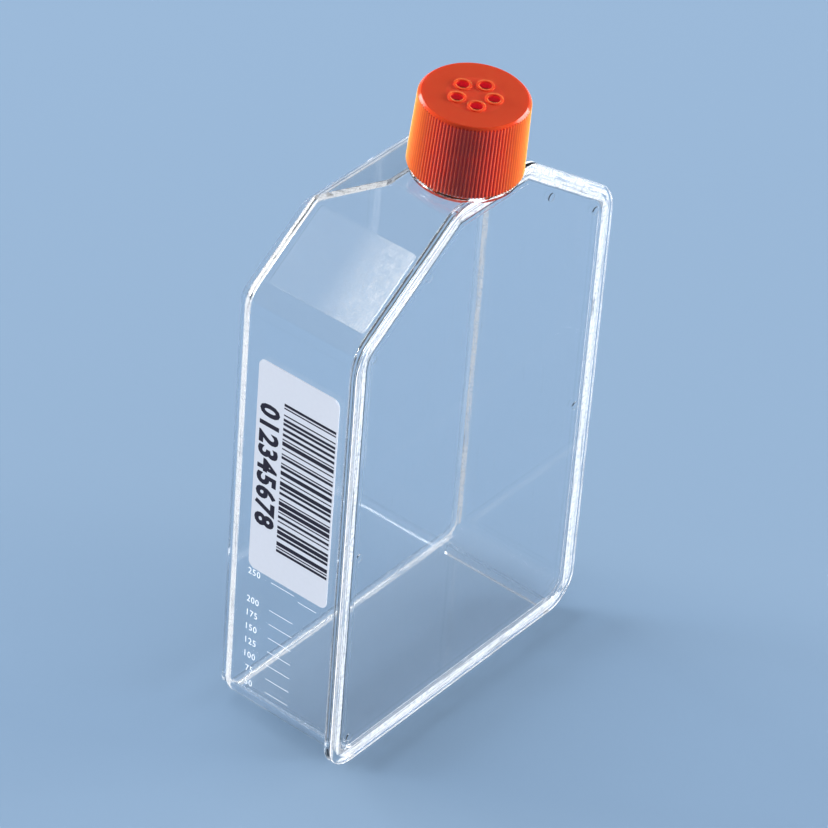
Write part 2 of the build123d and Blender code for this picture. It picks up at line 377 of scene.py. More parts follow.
def let_lamps_through(tree, shader, tint):
    """Shadow rays pass the shader as if it were a film of that tint."""
    path = add_node(tree, "ShaderNodeLightPath")
    film = add_node(tree, "ShaderNodeBsdfTransparent")
    preset(film, {"Color": tint})
    choice = add_node(tree, "ShaderNodeMixShader")
    tree.links.new(path.outputs["Is Shadow Ray"], choice.inputs["Fac"])
    tree.links.new(shader.outputs["BSDF"], choice.inputs[1])
    tree.links.new(film.outputs["BSDF"], choice.inputs[2])
    tree.links.new(choice.outputs["Shader"], tree.nodes["Material Output"].inputs["Surface"])


def inside(tree, value, low, high, soft):
    """1 where value is between low and high, with a soft edge."""
    rising = ramp(tree, value, low - soft, low + soft)
    falling = ramp(tree, value, high - soft, high + soft)
    return sums(tree, "SUBTRACT", rising, falling, clamp=True)


def clear_plastic(name, wave, flow, scratches, with_panel):
    """Glass-clear polystyrene with the traces of its mould."""
    made, tree, shader, where = new_material(name)
    preset(shader, {"Base Color": CLEAR, "Transmission Weight": 1.0, "IOR": POLYSTYRENE_INDEX})
    traces = use_group(
        tree, moulding, Place=where, Wave=wave, Flow=flow, Scratches=scratches, Gloss=0.012, Haze=0.02
    )
    height, rough = traces["Height"], traces["Roughness"]
    if with_panel:
        corner = Vector((-half_width, front_y + PANEL_FRONT, SHOULDER_FOOT))
        sheet = stretch(tree, where, move=-corner)
        sheet = stretch(tree, sheet, turn=(0.0, slope, 0.0))
        parts = add_node(tree, "ShaderNodeSeparateXYZ")
        tree.links.new(sheet, parts.inputs["Vector"])
        along = inside(tree, parts.outputs["X"], PANEL_START, PANEL_START + PANEL_LENGTH, MASK_EDGE)
        over = inside(tree, parts.outputs["Y"], 0.0, PANEL_WIDTH, MASK_EDGE)
        outer = inside(tree, parts.outputs["Z"], *SHOULDER_SKIN, 0.1 * MM)
        panel = sums(tree, "MULTIPLY", sums(tree, "MULTIPLY", along, over), outer)
        etched = grain(tree, where, 2600.0, 3.0, 0.7)
        height = sums(tree, "MULTIPLY_ADD", sums(tree, "MULTIPLY", panel, etched), 0.5, height)
        rough = sums(tree, "MULTIPLY_ADD", panel, 0.12, rough, clamp=True)
    tree.links.new(rough, shader.inputs["Roughness"])
    bumped(tree, shader, height, 0.05 * MM)
    let_lamps_through(tree, shader, SHADOW_TINT)
    return made


clear_body = clear_plastic("clear_polystyrene_body", 0.55, 0.05, 0.05, True)
clear_plate = clear_plastic("clear_polystyrene_plate", 0.45, 0.04, 0.06, False)
print("materials:", clear_body.name, clear_plate.name)

# %% [markdown]
# The cap is moulded from orange polyethylene. The plastic is a little soft to light, so some of it scatters
# below the surface. Light and shade are painted into the skirt's colour: the grooves between the flutes
# are painted a deeper red than their crests, as painted shade, and where the skirt turns away from the eye
# it is painted more orange, as if lit by the lamps at its sides, while the part that faces the eye is
# painted a dark crimson, as painted shade. A Layer Weight node tells the two apart. It is given the normal
# of a skirt without flutes, or each flute would have its own light and dark side. For the same reason the
# flutes' normals are softened a little where the skirt faces the eye.
#
# The thin wall lets light through, so the inside glows red above the neck's clear bead, and the holes glow
# crimson: a faint light of their own stands for it. The crests and the bevel round the lid are handled most
# and are polished. All of this is found from the distance to the cap's own axis, so Mapping nodes first
# move the place to the neck and turn the leaning axis upright.

# %% Orange cap plastic
# The skirt narrows by 0.8 mm over its height of 23.6 mm. The bevel's mask starts and is full at these
# distances inwards from the cap's radius and down from the lid.
SKIRT_DRAFT = 0.8 / 23.6
BEVEL_INWARDS = (2.1 * MM, 1.8 * MM)
BEVEL_DOWN = (1.5 * MM, 1.2 * MM)
CAP_WALL = 1.55 * MM
LID_SHADES = ((0.68, 0.060, 0.014, 1.0), (0.74, 0.074, 0.018, 1.0))
FACING_PAINTED_SHADE = ((0.69, 0.028, 0.016, 1.0), (0.85, 0.066, 0.020, 1.0))
SLANTED_PAINTED_LIGHT = ((0.56, 0.082, 0.014, 1.0), (0.69, 0.165, 0.020, 1.0))
NO_GLOW = (0.0, 0.0, 0.0, 1.0)
CAVITY_GLOW = (0.90, 0.11, 0.03, 1.0)
HOLE_GLOW = (0.55, 0.012, 0.035, 1.0)


def neck_place(tree, where):
    """For a place: its distance from the neck's axis, its height along it, and the way out from it."""
    lean = math.atan2(-neck_axis.y, neck_axis.z)
    moved = stretch(tree, where, move=-neck_foot)
    upright = stretch(tree, moved, turn=(-lean, 0.0, 0.0))
    parts = add_node(tree, "ShaderNodeSeparateXYZ")
    tree.links.new(upright, parts.inputs["Vector"])
    square = sums(tree, "MULTIPLY", parts.outputs["X"], parts.outputs["X"])
    square = sums(tree, "MULTIPLY_ADD", parts.outputs["Y"], parts.outputs["Y"], square)
    flat = add_node(tree, "ShaderNodeCombineXYZ")
    tree.links.new(parts.outputs["X"], flat.inputs["X"])
    tree.links.new(parts.outputs["Y"], flat.inputs["Y"])
    outwards = stretch(tree, flat.outputs["Vector"], turn=(lean, 0.0, 0.0))
    return sums(tree, "SQRT", square), parts.outputs["Z"], outwards


def normalised(tree, vector):
    """The vector with its length made one."""
    made = add_node(tree, "ShaderNodeVectorMath", operation="NORMALIZE")
    feed(tree, made.inputs[0], vector)
    return made.outputs["Vector"]


def fluteless(tree, outwards):
    """The normal that the skirt would have without its flutes."""
    to_world = add_node(tree, "ShaderNodeVectorTransform", vector_type="NORMAL")
    to_world.convert_from, to_world.convert_to = "OBJECT", "WORLD"
    tree.links.new(outwards, to_world.inputs["Vector"])
    return normalised(tree, to_world.outputs["Vector"])


def softened(tree, smooth, share):
    """The surface's own normal, turned by a share towards the smooth one."""
    own = add_node(tree, "ShaderNodeNewGeometry").outputs["Normal"]
    mixed = add_node(tree, "ShaderNodeMix", data_type="VECTOR")
    # A Mix node has sockets for every kind of value: 4 and 5 take the vectors, and 1 gives the result.
    for socket, value in (("Factor", share), (4, own), (5, smooth)):
        feed(tree, mixed.inputs[socket], value)
    return normalised(tree, mixed.outputs[1])


def under_lid(tree, level, deep, shallow):
    """1 where a level lies deeper than deep under the lid's face, 0 above shallow."""
    return ramp(tree, level, lid_level - deep, lid_level - shallow, 1.0, 0.0)


def cap_glow(tree, radius, level):
    """Light that comes through the wall: red in the cavity, crimson in the holes."""
    cavity = inside(tree, radius, 9.0 * MM, cap_radius - CAP_WALL, 0.35 * MM)
    cavity = sums(tree, "MULTIPLY", cavity, under_lid(tree, level, 1.9 * MM, 1.6 * MM))
    holes = ramp(tree, radius, 8.0 * MM, 8.6 * MM, 1.0, 0.0)
    holes = sums(tree, "MULTIPLY", holes, under_lid(tree, level, 0.5 * MM, 0.2 * MM))
    return blend(tree, holes, blend(tree, cavity, NO_GLOW, CAVITY_GLOW), HOLE_GLOW)


def orange_plastic():
    """Satin orange polyethylene: a fluted skirt with painted light and shade, a polished bevel, a glowing
    inside.
    """
    made, tree, shader, where = new_material("orange_polyethylene")
    radius, level, outwards = neck_place(tree, where)
    narrower = sums(tree, "MULTIPLY", sums(tree, "SUBTRACT", level, skirt_level), SKIRT_DRAFT)
    edge = sums(tree, "SUBTRACT", cap_radius, narrower)
    sunk = sums(tree, "SUBTRACT", edge, radius)
    crest = ramp(tree, sunk, 0.05 * MM, 0.34 * MM, 1.0, 0.0)
    smooth = fluteless(tree, outwards)
    sight = add_node(tree, "ShaderNodeLayerWeight")
    tree.links.new(smooth, sight.inputs["Normal"])

    lid = blend(tree, grain(tree, where, 110.0, 4.0, 0.6), *LID_SHADES)
    # Painted light and shade: dark crimson where the skirt faces the eye, orange at its sides, darker
    # grooves.
    facing, painted_side_light = blend(tree, crest, *FACING_PAINTED_SHADE), blend(tree, crest, *SLANTED_PAINTED_LIGHT)
    skirt = blend(tree, ramp(tree, sight.outputs["Facing"], 0.22, 0.60), facing, painted_side_light)
    on_skirt = under_lid(tree, level, 1.3 * MM, 0.7 * MM)
    tree.links.new(blend(tree, on_skirt, lid, skirt), shader.inputs["Base Color"])
    tree.links.new(cap_glow(tree, radius, level), shader.inputs["Emission Color"])
    preset(shader, {
        "Subsurface Weight": 0.8, "Subsurface Radius": (1.0, 0.70, 0.50), "Subsurface Scale": 2.0 * MM,
        "IOR": 1.51, "Specular IOR Level": 0.38, "Emission Strength": 0.40,
    })

    spark = grain(tree, where, 5200.0, 2.0)
    dull = sums(tree, "MULTIPLY_ADD", spark, 0.12, 0.34)
    outer = ramp(tree, radius, *(cap_radius - inwards for inwards in BEVEL_INWARDS))
    upper = ramp(tree, level, *(lid_level - down for down in BEVEL_DOWN))
    bevel = sums(tree, "MULTIPLY", outer, upper)
    dull = sums(tree, "MULTIPLY_ADD", bevel, -0.26, dull)
    tree.links.new(sums(tree, "MULTIPLY_ADD", crest, -0.08, dull), shader.inputs["Roughness"])
    traces = use_group(tree, moulding, Place=where, Wave=0.5, Flow=0.1, Scratches=0.25, Gloss=0.3, Haze=0.1)
    bump = bumped(tree, shader, sums(tree, "MULTIPLY_ADD", spark, 0.25, traces["Height"]), 0.03 * MM)
    fluted = inside(tree, sunk, -0.5 * MM, 0.7 * MM, 0.1 * MM)
    upright = inside(tree, level, skirt_level + 0.4 * MM, lid_level - 1.5 * MM, 0.2 * MM)
    share = ramp(tree, sight.outputs["Facing"], 0.27, 0.42, 0.38, 0.0)
    share = sums(tree, "MULTIPLY", sums(tree, "MULTIPLY", fluted, upright), share)
    tree.links.new(softened(tree, smooth, share), bump.inputs["Normal"])
    return made


cap_orange = orange_plastic()
print("material:", cap_orange.name, "with", len(cap_orange.node_tree.nodes), "nodes")

# %% [markdown]
# The label is coated paper: nearly smooth, with the faint cloudiness of its fibres and a soft sheen. The
# filter is a felt of fine white threads, made of two stretched noises that cross. It lies under the lid,
# where only red light gets to it, so its colour is given that tint. The print is a thin black film of resin
# from a thermal printer, with tiny specks where the ribbon missed the paper.

# %% Paper, filter and print
def paper():
    """Coated label paper."""
    made, tree, shader, where = new_material("label_paper")
    fibre = grain(tree, where, 900.0, 5.0, 0.7)
    tint = blend(tree, fibre, (0.62, 0.63, 0.68, 1.0), (0.68, 0.69, 0.73, 1.0))
    tree.links.new(tint, shader.inputs["Base Color"])
    tree.links.new(ramp(tree, fibre, 0.2, 0.8, 0.38, 0.50), shader.inputs["Roughness"])
    bumped(tree, shader, fibre, 0.01 * MM)
    return made


def felt():
    """Filter membrane in the red light under the lid."""
    made, tree, shader, where = new_material("filter_felt")
    warp = grain(tree, stretch(tree, where, (5000.0, 500.0, 500.0)), 1.0, 2.0)
    weft = grain(tree, stretch(tree, where, (500.0, 5000.0, 500.0)), 1.0, 2.0)
    threads = sums(tree, "MAXIMUM", warp, weft)
    tint = blend(tree, ramp(tree, threads, 0.4, 0.7), (0.40, 0.10, 0.07, 1.0), (0.56, 0.16, 0.10, 1.0))
    tree.links.new(tint, shader.inputs["Base Color"])
    tree.links.new(ramp(tree, threads, 0.3, 0.8, 0.7, 0.9), shader.inputs["Roughness"])
    bumped(tree, shader, threads, 0.02 * MM)
    return made


def black_print():
    """Thermal print."""
    made, tree, shader, where = new_material("black_print")
    speck = ramp(tree, grain(tree, where, 4200.0, 3.0, 0.8), 0.66, 0.72)
    tint = blend(tree, speck, (0.012, 0.010, 0.022, 1.0), (0.12, 0.12, 0.15, 1.0))
    tree.links.new(tint, shader.inputs["Base Color"])
    rough = ramp(tree, grain(tree, where, 300.0, 2.0), 0.3, 0.7, 0.50, 0.62)
    tree.links.new(rough, shader.inputs["Roughness"])
    preset(shader, {"Specular IOR Level": 0.2})
    return made


label_white, filter_felt, print_black = paper(), felt(), black_print()


def dress(node, material):
    """Give a solid from the frame its material."""
    solid = nodes[node]
    if not solid.material_slots:
        solid.data.materials.append(material)
    for held in solid.material_slots:
        held.material = material


dress("flask_body", clear_body)
dress("front_plate", clear_plate)
dress("vent_cap", cap_orange)
dress("vent_membrane", filter_felt)
dress("barcode_label", label_white)
print(len(nodes), "solids dressed")

# %% [markdown]
# The added pieces share a few steps: deselect everything, start from a primitive, pick faces or edges by
# their place, and finish with the transforms applied so that the mesh itself holds the place. Each new
# piece is told which solid it rides on and gets its material.

# %% Helpers for modelling
def settle(piece):
    """Select only this piece and apply its transforms."""
    bpy.ops.object.select_all(action="DESELECT")
    piece.select_set(True)
    bpy.context.view_layer.objects.active = piece
    bpy.ops.object.transform_apply(location=True, rotation=True, scale=True)


def fresh(name, size, middle=(0.0, 0.0, 0.0), turn=(0.0, 0.0, 0.0)):
    """A new rectangle of that size, turned and placed, with its transform applied."""
    bpy.ops.object.select_all(action="DESELECT")
    bpy.ops.mesh.primitive_plane_add(size=1.0)
    made = bpy.context.object
    made.name = name
    made.data.name = name
    made.scale = (size[0], size[1], 1.0)
    made.rotation_euler = turn
    made.location = middle
    settle(made)
    return made


def shape(piece, chosen="all"):
    """Go into edit mode with all, or with only the vertices that the test picks."""
    bpy.ops.object.mode_set(mode="OBJECT")
    bpy.context.view_layer.objects.active = piece
    mesh = piece.data
    for face in mesh.polygons:
        face.select = False
    for edge in mesh.edges:
        edge.select = False
    for vertex in mesh.vertices:
        vertex.select = chosen == "all" or chosen(vertex.co)
    bpy.ops.object.mode_set(mode="EDIT")
    bpy.ops.mesh.select_mode(type="VERT")
    if chosen == "all":
        bpy.ops.mesh.select_all(action="SELECT")


def shaped():
    """Leave edit mode with clean outward normals."""
    bpy.ops.mesh.select_all(action="SELECT")
    bpy.ops.mesh.remove_doubles(threshold=0.0005 * MM)
    bpy.ops.mesh.normals_make_consistent(inside=False)
    bpy.ops.object.mode_set(mode="OBJECT")


def thicken(along):
    """Turn the flat piece in edit mode into a thin solid, by moving a copy of its faces."""
    bpy.ops.mesh.select_all(action="SELECT")
    bpy.ops.mesh.extrude_region_move(TRANSFORM_OT_translate={"value": tuple(along)})


def cut(point, normal, clear=True):
    """Cut along a plane, and clear away whatever lies on the normal's side of it, or keep both sides."""
    bpy.ops.mesh.select_all(action="SELECT")
    bpy.ops.mesh.bisect(plane_co=point, plane_no=normal, clear_outer=clear)


def drop_faces(piece, test):
    """Delete the faces whose middle the test picks."""
    bpy.ops.object.mode_set(mode="OBJECT")
    picked = {face.index for face in piece.data.polygons if test(face.center)}
    bpy.ops.object.mode_set(mode="EDIT")
    bpy.ops.mesh.select_mode(type="FACE")
    bpy.ops.mesh.select_all(action="DESELECT")
    bpy.ops.object.mode_set(mode="OBJECT")
    for face in piece.data.polygons:
        face.select = face.index in picked
    bpy.ops.object.mode_set(mode="EDIT")
    bpy.ops.mesh.delete(type="FACE")
    bpy.ops.mesh.select_mode(type="VERT")


def joined(pieces, name):
    """The pieces as one object with that name."""
    bpy.ops.object.select_all(action="DESELECT")
    for piece in pieces:
        piece.select_set(True)
    bpy.context.view_layer.objects.active = pieces[0]
    bpy.ops.object.join()
    pieces[0].name = pieces[0].data.name = name
    return pieces[0]


def finish_piece(piece, body, material):
    """Give the piece its material and body."""
    piece.data.materials.clear()
    piece.data.materials.append(material)
    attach(piece, body)
    bpy.ops.object.select_all(action="DESELECT")
    print(piece.name, "rides", body, "with", len(piece.data.polygons), "faces")


# %% [markdown]
# The front plate is bonded to the ledge inside the rim. On the real flask the bond shows as a milky ring
# full of tiny bubbles and streaks. A second white film on the back of the rim is a painted highlight: it
# stands for the white that the lamps' light gives the whole rim. Both are thin films here, with a faint
# painted glow of their own: it stands for the light that travels inside the walls and leaves at the rim.
# A rectangle is cut to the six sides of the outline, its corners are rounded, an inset makes the ring, and
# the faces inside the ring are deleted.

# %% Bond between plate and rim
EDGE_LIGHT = (0.93, 0.96, 1.0, 1.0)
WHITE_FILM_THICKNESS = 0.02 * MM
STREAKS_ACROSS, STREAKS_ALONG = 1500.0, 55.0
BUBBLE_SPOTS = 650.0
PLATE_EDGE = 1.4 * MM
RIM_THICKNESS = 2.6 * MM
BOND_DEPTH, BOND_WIDTH, BOND_GAP = 2.6 * MM, 2.3 * MM, 0.015 * MM
RIM_HIGHLIGHT_DEPTH, RIM_HIGHLIGHT_WIDTH = 0.55 * MM, 2.35 * MM
WHITE_FILM_MARGIN = 0.1 * MM
BASE_CORNER, BEND_CORNER, LID_CORNER = 11.0 * MM, 13.6 * MM, 9.0 * MM
CORNER_STEPS = 8
CLOSE = 5.0 * MM


def milky(name, near, far, least, most, white, glow):
    """A white film between two depths inside the outline, drawn out into streaks that run along the rim.
    Its glow is painted; its white is milk on the bond and a painted highlight elsewhere.
    """
    made, tree, shader, where = new_material(name)
    group = use_group(tree, outline, Place=where)
    fade = inside(tree, group["Depth"], near, far, 0.12 * MM)
    parts = add_node(tree, "ShaderNodeSeparateXYZ")
    tree.links.new(where, parts.inputs["Vector"])
    along = add_node(tree, "ShaderNodeCombineXYZ")
    feed(tree, along.inputs["X"], sums(tree, "MULTIPLY", group["Depth"], STREAKS_ACROSS))
    feed(tree, along.inputs["Y"], sums(tree, "MULTIPLY", parts.outputs["X"], STREAKS_ALONG))
    feed(tree, along.inputs["Z"], sums(tree, "MULTIPLY", parts.outputs["Z"], STREAKS_ALONG))
    streaks = grain(tree, along.outputs["Vector"], 1.0, 3.0, 0.6)
    bubbles = ramp(tree, grain(tree, where, BUBBLE_SPOTS, 3.0, 0.7), 0.38, 0.52, 0.45, 1.0)
    whiteness = sums(tree, "MULTIPLY", ramp(tree, streaks, 0.36, 0.52, least, most), bubbles)
    preset(shader, {
        "Base Color": (white, white, 1.02 * white, 1.0), "Roughness": 0.6, "Specular IOR Level": 0.2,
        "Emission Color": EDGE_LIGHT, "Emission Strength": glow,
    })
    tree.links.new(sums(tree, "MULTIPLY", whiteness, fade), shader.inputs["Alpha"])
    return made


def milk_of(depth, width):
    """The depths between which a ring is white, a hair inside its own edges."""
    return depth + WHITE_FILM_MARGIN, depth + width - WHITE_FILM_MARGIN


def depth_inside(place, lid):
    """How far a place lies inside the outline that stops at the height lid."""
    to_side = half_width - abs(place.x)
    to_shoulder = to_side * math.sin(slope) + (SHOULDER_FOOT - place.z) * math.cos(slope)
    return min(to_side, place.z, to_shoulder, lid - place.z)


def rim_ring(name, depth, width, level, lid=None, rise=0.0):
    """A ring that follows the outline at a depth inside it. Its outer edge is at level along Y, its inner
    edge is a rise further back, and lid is its height if it stops below the top."""
    foot, lid = depth, lid or BODY_HEIGHT - depth
    wide = 2 * (half_width - depth)
    ring = fresh(name, (wide, lid - foot), (0.0, level, (foot + lid) / 2), (math.radians(90), 0.0, 0.0))
    shape(ring)
    for side in (-1, 1):
        facing = Vector((side * math.sin(slope), 0.0, math.cos(slope)))
        bend = Vector((side * half_width, level, SHOULDER_FOOT))
        cut(bend - facing * depth, facing)
    halfway = SHOULDER_FOOT / 2
    corners = (
        (lambda p: p.z < halfway, math.radians(90), BASE_CORNER),
        (lambda p: halfway < p.z < SHOULDER_FOOT + CLOSE, math.radians(90) - slope, BEND_CORNER),
        (lambda p: p.z > lid - CLOSE, slope, LID_CORNER),
    )
    for test, bend_angle, radius in corners:
        shape(ring, test)
        reach = (radius - depth) * math.tan(bend_angle / 2)
        bpy.ops.mesh.bevel(offset=reach, segments=CORNER_STEPS, affect="VERTICES")
    shape(ring)
    bpy.ops.mesh.inset(thickness=width, depth=0.0)
    drop_faces(ring, lambda p: abs(p.x) < CLOSE and BASE_CORNER < p.z < SHOULDER_FOOT)
    if rise:
        shape(ring, lambda p: depth_inside(p, lid) > depth + width / 2)
        bpy.ops.transform.translate(value=(0.0, rise, 0.0))
    thicken((0.0, WHITE_FILM_THICKNESS, 0.0))
    shaped()
    return ring


bond = rim_ring("bond_ring", BOND_DEPTH, BOND_WIDTH, front_y + PLATE_EDGE + BOND_GAP)
# The bond's milk is real; its faint glow is painted light.
bond_milk_and_glow = milky("milky_bond_painted_glow", *milk_of(BOND_DEPTH, BOND_WIDTH), 0.12, 0.88, 0.70, 0.45)
finish_piece(bond, "flask", bond_milk_and_glow)
# Painted highlight: a white film on the back of the rim, for the white that light gives it.
rim_highlight_film = rim_ring("rim_painted_highlight", RIM_HIGHLIGHT_DEPTH, RIM_HIGHLIGHT_WIDTH, front_y + RIM_THICKNESS + WHITE_FILM_THICKNESS)
rim_highlight_paint = milky("painted_rim_highlight", *milk_of(RIM_HIGHLIGHT_DEPTH, RIM_HIGHLIGHT_WIDTH), 0.12, 0.75, 0.70, 0.45)
finish_piece(rim_highlight_film, "flask", rim_highlight_paint)

# %% [markdown]
# The rounded edges at the back of the tray gather light in the same way and look white from every side,
# so they carry a painted highlight too: one more white ring lies in the middle of the wall, where the
# growth wall turns into the base, the sides and the shoulders; it slants, to follow that turn. Two short
# strips carry it on along both sides of the ramp that leads to the neck, where the middle planes of the
# ramp and of a shoulder meet. Their white, with its painted glow, has no limits: it covers each film from
# edge to edge.

# %% White edges at the back
FOOT_RING = 1.0 * MM
TRAY_BACK = body_high.y - FOOT_RING
RAMP_START = 172.6 * MM
RAMP_RISE = 9.2 * MM
RAMP_RUN = 19.2 * MM
MID_WALL = 1.0 * MM
EDGE_INSIDE, EDGE_FORWARDS = 1.3 * MM, 2.8 * MM
EDGE_WIDTH, EDGE_RISE = 1.5 * MM, 1.5 * MM
STRIP_WIDTH, STRIP_START, STRIP_END = 2.0 * MM, 2.5 * MM, 0.5 * MM
EVERYWHERE = (-9.0 * MM, 99.0 * MM)
ramp_out = Vector((0.0, RAMP_RISE, RAMP_RUN)).normalized()


def ramp_edge(side, level):
    """Where the middle planes of the ramp and of one shoulder meet, at a place along Y."""
    z = RAMP_START - (MID_WALL + (level - TRAY_BACK) * ramp_out.y) / ramp_out.z
    inwards = (RIM_OVERHANG + MID_WALL + (z - SHOULDER_FOOT) * math.cos(slope)) / math.sin(slope)
    return Vector((side * (half_width - inwards), level, z))


def edge_strip(start, end, normal):
    """A strip from start to end whose flat side faces along normal."""
    along = (end - start).normalized()
    across = normal.cross(along).normalized()
    strip = fresh("strip", ((end - start).length, STRIP_WIDTH))
    lying = Matrix((along, across, along.cross(across))).transposed().to_4x4()
    lying.translation = (start + end) / 2
    strip.matrix_world = lying
    settle(strip)
    shape(strip)
    thicken(-WHITE_FILM_THICKNESS * normal)
    shaped()
    return strip


# Painted highlight with a painted glow on the back edges and the ramp's edges.
edge_highlight_paint = milky("painted_edge_highlight", *EVERYWHERE, 0.20, 0.72, 0.22, 0.58)
back_ring = rim_ring(
    "back_edge_ring", RIM_OVERHANG + EDGE_INSIDE, EDGE_WIDTH, TRAY_BACK - EDGE_FORWARDS,
    lid=RAMP_START, rise=EDGE_RISE,
)
finish_piece(back_ring, "flask", edge_highlight_paint)
strips = []
for side in (-1, 1):
    shoulder_out = Vector((side * math.sin(slope), 0.0, math.cos(slope)))
    start = ramp_edge(side, TRAY_BACK - STRIP_START)
    end = ramp_edge(side, TRAY_BACK - RAMP_RUN + STRIP_END)
    strips.append(edge_strip(start, end, (shoulder_out + ramp_out).normalized()))
finish_piece(joined(strips, "ramp_edge_strips"), "flask", edge_highlight_paint)

# %% [markdown]
# The neck and the cap hold on to each other by a screw thread. Both threads are ribs with sloping flanks,
# wound at the same pitch, and set half a turn's rise apart so that they interlock. The profile is a small
# rectangle with its outer side narrowed; a Screw modifier winds it, and the first and last stretch are
# pulled back into the wall, as a mould's thread runs out. It is wound upright and then tilted to the neck's
# axis.

# %% Screw threads
THREAD_PITCH = 5.0 * MM
THREAD_BASE, THREAD_TIP = 2.0 * MM, 1.0 * MM
NECK_ROOT, NECK_CREST, NECK_THREAD_START, NECK_TURNS = 12.32 * MM, 13.6 * MM, 12.6 * MM, 2.0
CAP_ROOT, CAP_CREST, CAP_THREAD_START, CAP_TURNS = 15.1 * MM, 12.8 * MM, 10.1 * MM, 2.2
RUN_OUT = math.radians(28)
STEPS_A_TURN = 72
FULL_TURN = math.radians(360)
neck_tilt = Vector((0.0, 0.0, 1.0)).rotation_difference(neck_axis).to_euler()


def thread(name, root, crest, start, turns):
    """A thread from root to crest radius that starts at a height above the top wall."""
    middle = ((root + crest) / 2, 0.0, start)
    coil = fresh(name, (abs(crest - root), THREAD_BASE), middle, (math.radians(90), 0.0, 0.0))
    shape(coil, lambda p: abs(p.x - crest) < 0.05 * MM)
    narrowed = THREAD_TIP / THREAD_BASE
    bpy.ops.transform.resize(value=(1.0, 1.0, narrowed), center_override=(crest, 0.0, start))
    shape(coil)
    bpy.ops.mesh.delete(type="ONLY_FACE")
    bpy.ops.object.mode_set(mode="OBJECT")
    wind = coil.modifiers.new("wind", "SCREW")
    wind.angle = FULL_TURN * turns
    wind.screw_offset = THREAD_PITCH * turns
    wind.steps = wind.render_steps = int(STEPS_A_TURN * turns)
    wind.use_merge_vertices = False
    bpy.ops.object.modifier_apply(modifier=wind.name)
    for vertex in coil.data.vertices:
        radius = math.hypot(vertex.co.x, vertex.co.y)
        turned = math.atan2(vertex.co.y, vertex.co.x)
        laps = round((vertex.co.z - start) / THREAD_PITCH - turned / FULL_TURN)
        gone = turned + FULL_TURN * laps
        left = max(0.0, min(gone, FULL_TURN * turns - gone, RUN_OUT)) / RUN_OUT
        fade = math.sin(left * math.pi / 2)
        wanted = root + (radius - root) * (0.02 + 0.98 * fade)
        vertex.co.x *= wanted / radius
        vertex.co.y *= wanted / radius
    shape(coil)
    bpy.ops.mesh.select_mode(type="EDGE")
    bpy.ops.mesh.select_all(action="DESELECT")
    bpy.ops.mesh.select_non_manifold()
    bpy.ops.mesh.edge_face_add()
    shaped()
    coil.rotation_euler = neck_tilt
    coil.location = neck_foot
    settle(coil)
    bpy.ops.object.shade_smooth_by_angle(angle=math.radians(40))
    return coil


clear_thread = clear_plastic("clear_polystyrene_thread", 0.2, 0.02, 0.05, False)
neck_thread = thread("neck_thread", NECK_ROOT, NECK_CREST, NECK_THREAD_START, NECK_TURNS)
finish_piece(neck_thread, "flask", clear_thread)
cap_thread = thread("cap_thread", CAP_ROOT, CAP_CREST, CAP_THREAD_START, CAP_TURNS)
finish_piece(cap_thread, "cap", cap_orange)

# %% [markdown]
# A thermal printer lays thin black resin on the paper. The code is made of bars and gaps that are one to
# four units wide, written as plain digits in turn: bar, gap, bar, gap. One rectangle as long as the code is
# scored at every change, the gaps are deleted, and what is left gets the film's small thickness.

# %% Bars of the label
CODE = "211412" "212222" "221132" "131123" "112232" "123122" "231131" "311222" "132131" "2331112"
FILM = 0.012 * MM
ABOVE_CODE, BELOW_CODE = 11.2 * MM, 11.0 * MM
CODE_FRONT, CODE_BACK = 7.9 * MM, 27.2 * MM
code_high, code_low = label_high.z - ABOVE_CODE, label_low.z + BELOW_CODE
code_front, code_back = front_y + CODE_FRONT, front_y + CODE_BACK
unit = (code_high - code_low) / sum(int(width) for width in CODE)
print("unit of the code:", round(unit * 1000, 3), "mm")

bars = fresh(
    "label_bars", (code_high - code_low, code_back - code_front),
    (label_low.x - FILM / 3, (code_front + code_back) / 2, (code_low + code_high) / 2),
    (0.0, math.radians(90), 0.0),
)
shape(bars)
edge_at = code_high
gaps = []
for place, width in enumerate(CODE[:-1]):
    reach = int(width) * unit
    if place % 2:
        gaps.append((edge_at - reach, edge_at))
    edge_at -= reach
    cut((0.0, 0.0, edge_at), (0.0, 0.0, 1.0), clear=False)
drop_faces(bars, lambda p: any(low < p.z < high for low, high in gaps))
thicken((-FILM, 0.0, 0.0))
shaped()
finish_piece(bars, "flask", print_black)

# %% [markdown]
# The number beside the code is what a person reads. It is plain running digits, set bold and narrow with
# their heads towards the front plate. Text is made into a mesh at once, so that nothing depends on a font
# later. In Blender's own font a capital is about 0.70 of the text's size high, which gives the size to ask
# for. The mesh is then brought to its exact height.

# %% Number of the label
HEIGHT_OF_CAPITALS = 0.70
LETTER_SPACING = 1.12
NUMBER_HEIGHT = 7.8 * MM
NUMBER_WEIGHT = 0.45 * MM
NUMBER_FROM_FRONT, NUMBER_FROM_FOOT = 32.3 * MM, 39.6 * MM


